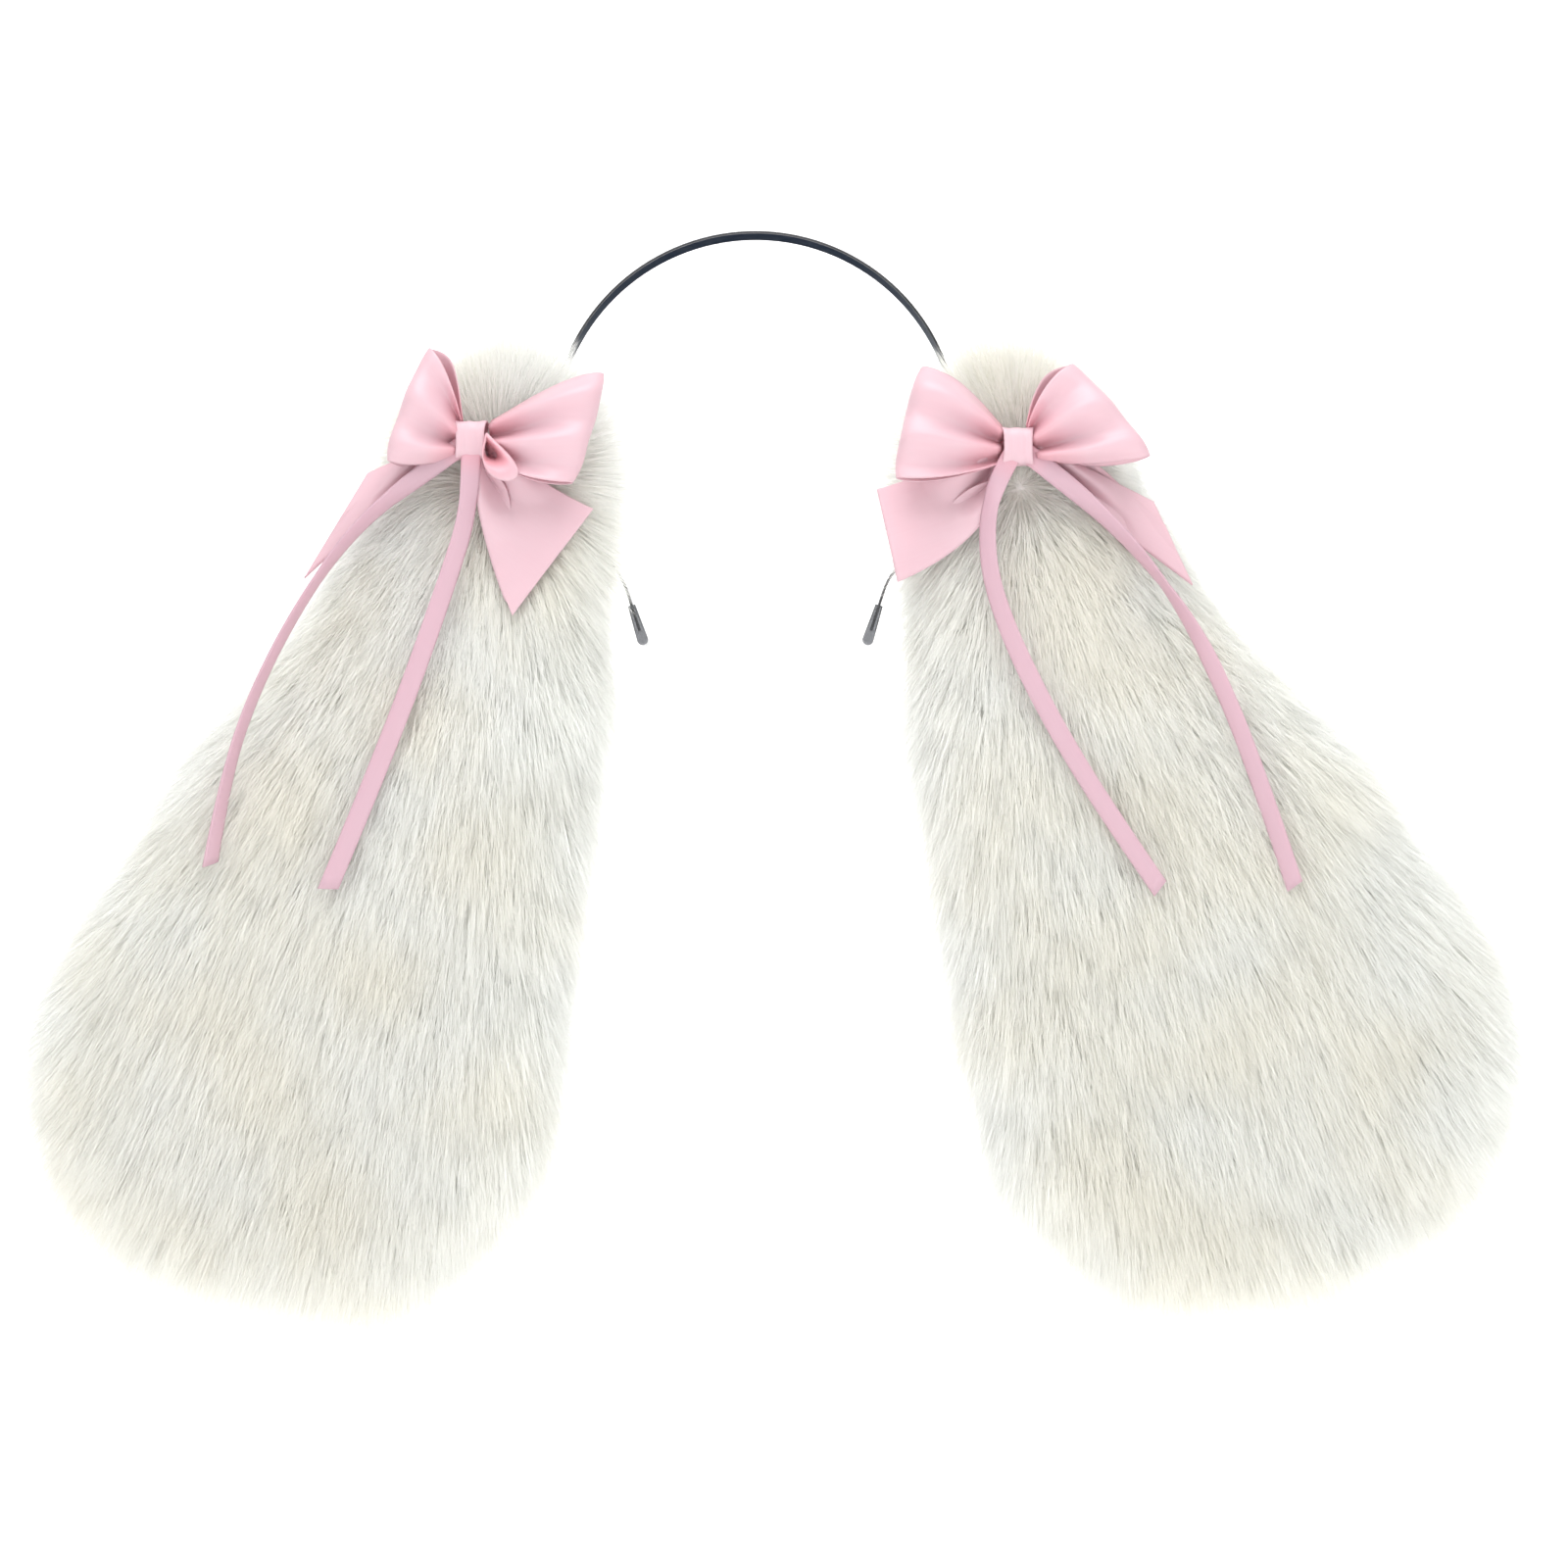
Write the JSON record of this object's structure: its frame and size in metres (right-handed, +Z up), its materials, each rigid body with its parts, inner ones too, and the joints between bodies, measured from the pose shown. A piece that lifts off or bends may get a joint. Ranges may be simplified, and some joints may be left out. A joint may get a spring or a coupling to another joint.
{
  "type": "animal ears headband",
  "caption": "Thin steel headband with long-haired hanging ears that slide along it and swing, each with a satin ribbon bow and narrow streamers.",
  "frame": {"origin": "centre of the round crown of the strip, in the middle of the strip's width, where the top of the wearer's head sits", "axes": "+Z up as worn, the front with the bows faces -Y, +X towards the ear at the right of the front view"},
  "size_m": [0.4631, 0.0648, 0.354],
  "materials": {
    "spring_steel": "polished",
    "clear_plastic": "clear, glossy",
    "sleeve_cloth": "plain woven tape",
    "sewing_thread": "twisted polyester thread",
    "fur_fabric": "long-pile faux fur",
    "fibre_filling": "loose fibre",
    "wide_satin": "satin ribbon",
    "narrow_satin": "satin ribbon"
  },
  "bodies": {
    "band": {"band_strip": "spring_steel", "left_tip_cap": "clear_plastic", "right_tip_cap": "clear_plastic"},
    "left_sleeve": {"left_sleeve": "sleeve_cloth", "left_anchor_stitches": "sewing_thread"},
    "left_ear": {"left_ear_front_panel": "fur_fabric", "left_ear_back_panel": "fur_fabric", "left_ear_filling": "fibre_filling", "left_closing_stitches": "sewing_thread", "left_bow_loops": "wide_satin", "left_bow_tails": "wide_satin", "left_bow_tie_thread": "sewing_thread", "left_bow_knot_wrap": "wide_satin", "left_bow_stitches": "sewing_thread", "left_inner_streamer": "narrow_satin", "left_outer_streamer": "narrow_satin"},
    "right_sleeve": {"right_sleeve": "sleeve_cloth", "right_anchor_stitches": "sewing_thread"},
    "right_ear": {"right_ear_front_panel": "fur_fabric", "right_ear_back_panel": "fur_fabric", "right_ear_filling": "fibre_filling", "right_closing_stitches": "sewing_thread", "right_bow_loops": "wide_satin", "right_bow_tails": "wide_satin", "right_bow_tie_thread": "sewing_thread", "right_bow_knot_wrap": "wide_satin", "right_bow_stitches": "sewing_thread", "right_inner_streamer": "narrow_satin", "right_outer_streamer": "narrow_satin"}
  },
  "joints": [
    {"name": "left_ear_slide", "type": "hinge", "parent": "band", "child": "left_sleeve", "pos_m": [0, 0, 0], "axis": [0, -1, 0], "range_deg": [-20, 4]},
    {"name": "left_ear_swing", "type": "hinge", "parent": "left_sleeve", "child": "left_ear", "pos_m": [-0.06734, -0.0078, -0.00946], "axis": [0, 1, 0], "range_deg": [-10, 60], "stiffness_Nm_per_rad": 0.25, "springref_deg": 11},
    {"name": "right_ear_slide", "type": "hinge", "parent": "band", "child": "right_sleeve", "pos_m": [0, 0, 0], "axis": [0, 1, 0], "range_deg": [-20, 4]},
    {"name": "right_ear_swing", "type": "hinge", "parent": "right_sleeve", "child": "right_ear", "pos_m": [0.06734, -0.0078, -0.00946], "axis": [0, -1, 0], "range_deg": [-10, 60], "stiffness_Nm_per_rad": 0.25, "springref_deg": 12.49}
  ]
}
